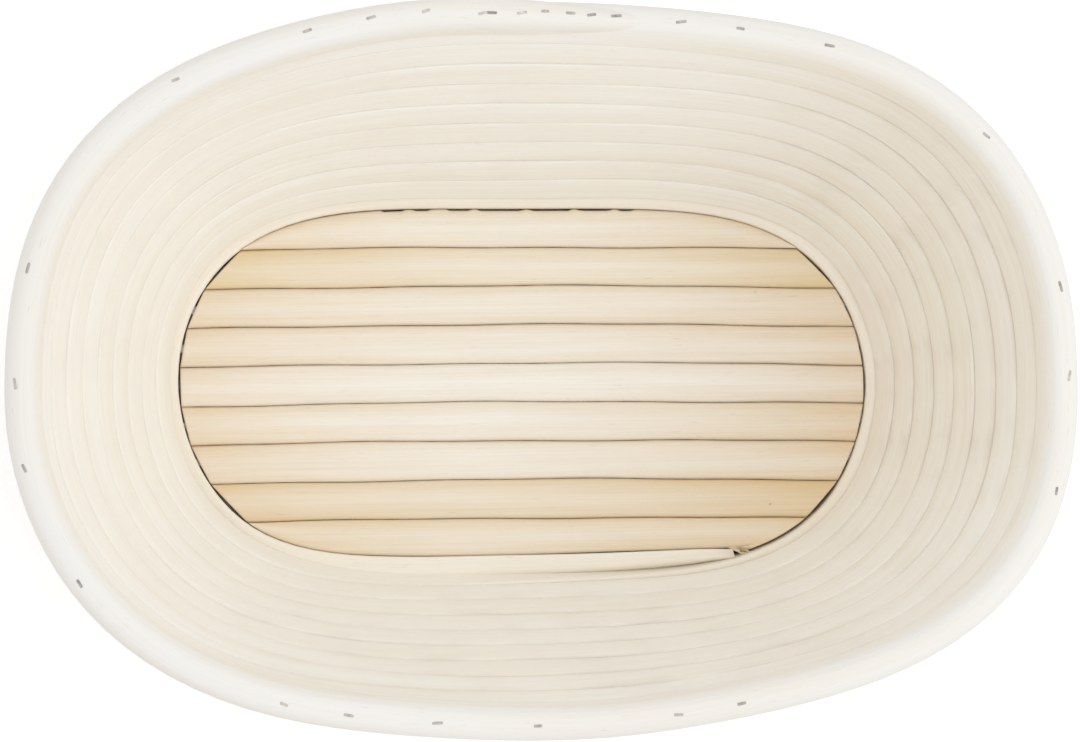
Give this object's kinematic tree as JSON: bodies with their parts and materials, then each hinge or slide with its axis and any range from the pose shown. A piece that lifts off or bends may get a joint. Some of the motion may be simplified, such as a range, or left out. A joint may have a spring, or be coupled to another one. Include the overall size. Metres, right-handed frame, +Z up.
{
  "type": "proofing basket",
  "caption": "Oval bread proofing basket: one cane wound in a climbing spiral round a floor of split-cane slats, pinned with small steel brads.",
  "frame": {"origin": "on the surface that the basket stands on, under the middle of its box", "axes": "+X along the oval, +Y across it, +Z up out of the open top"},
  "size_m": [0.2166, 0.1492, 0.0783],
  "materials": {
    "wall_cane": "bare peeled cane, matt",
    "split_cane": "bare split cane, matt, with long fibres",
    "batten_cane": "bare split cane, matt",
    "fastener_steel": "dull flat steel wire"
  },
  "bodies": {
    "root": {"wall_coil": "wall_cane", "slat_1": "split_cane", "slat_2": "split_cane", "slat_3": "split_cane", "slat_4": "split_cane", "slat_5": "split_cane", "slat_6": "split_cane", "slat_7": "split_cane", "slat_8": "split_cane", "slat_9": "split_cane", "batten_left": "batten_cane", "batten_right": "batten_cane", "batten_staple_left_1": "fastener_steel", "batten_staple_left_2": "fastener_steel", "batten_staple_left_3": "fastener_steel", "batten_staple_left_4": "fastener_steel", "batten_staple_left_5": "fastener_steel", "batten_staple_right_1": "fastener_steel", "batten_staple_right_2": "fastener_steel", "batten_staple_right_3": "fastener_steel", "batten_staple_right_4": "fastener_steel", "batten_staple_right_5": "fastener_steel", "slat_brad_left_3": "fastener_steel", "slat_brad_right_3": "fastener_steel", "slat_brad_left_4": "fastener_steel", "slat_brad_right_4": "fastener_steel", "slat_brad_left_6": "fastener_steel", "slat_brad_right_6": "fastener_steel", "slat_brad_left_7": "fastener_steel", "slat_brad_right_7": "fastener_steel", "rim_brad_01": "fastener_steel", "rim_brad_02": "fastener_steel", "rim_brad_03": "fastener_steel", "rim_brad_04": "fastener_steel", "rim_brad_05": "fastener_steel", "rim_brad_06": "fastener_steel", "rim_brad_07": "fastener_steel", "rim_brad_08": "fastener_steel", "rim_brad_09": "fastener_steel", "rim_brad_10": "fastener_steel", "rim_brad_11": "fastener_steel", "rim_brad_12": "fastener_steel", "rim_brad_13": "fastener_steel", "rim_brad_14": "fastener_steel", "rim_brad_15": "fastener_steel", "rim_brad_16": "fastener_steel", "rim_brad_17": "fastener_steel", "rim_brad_18": "fastener_steel", "rim_brad_19": "fastener_steel", "rim_brad_20": "fastener_steel", "rim_brad_21": "fastener_steel", "rim_brad_22": "fastener_steel", "rim_brad_23": "fastener_steel", "rim_brad_24": "fastener_steel", "rim_brad_25": "fastener_steel", "rim_brad_26": "fastener_steel", "rim_brad_27": "fastener_steel", "rim_brad_28": "fastener_steel"}
  },
  "joints": []
}
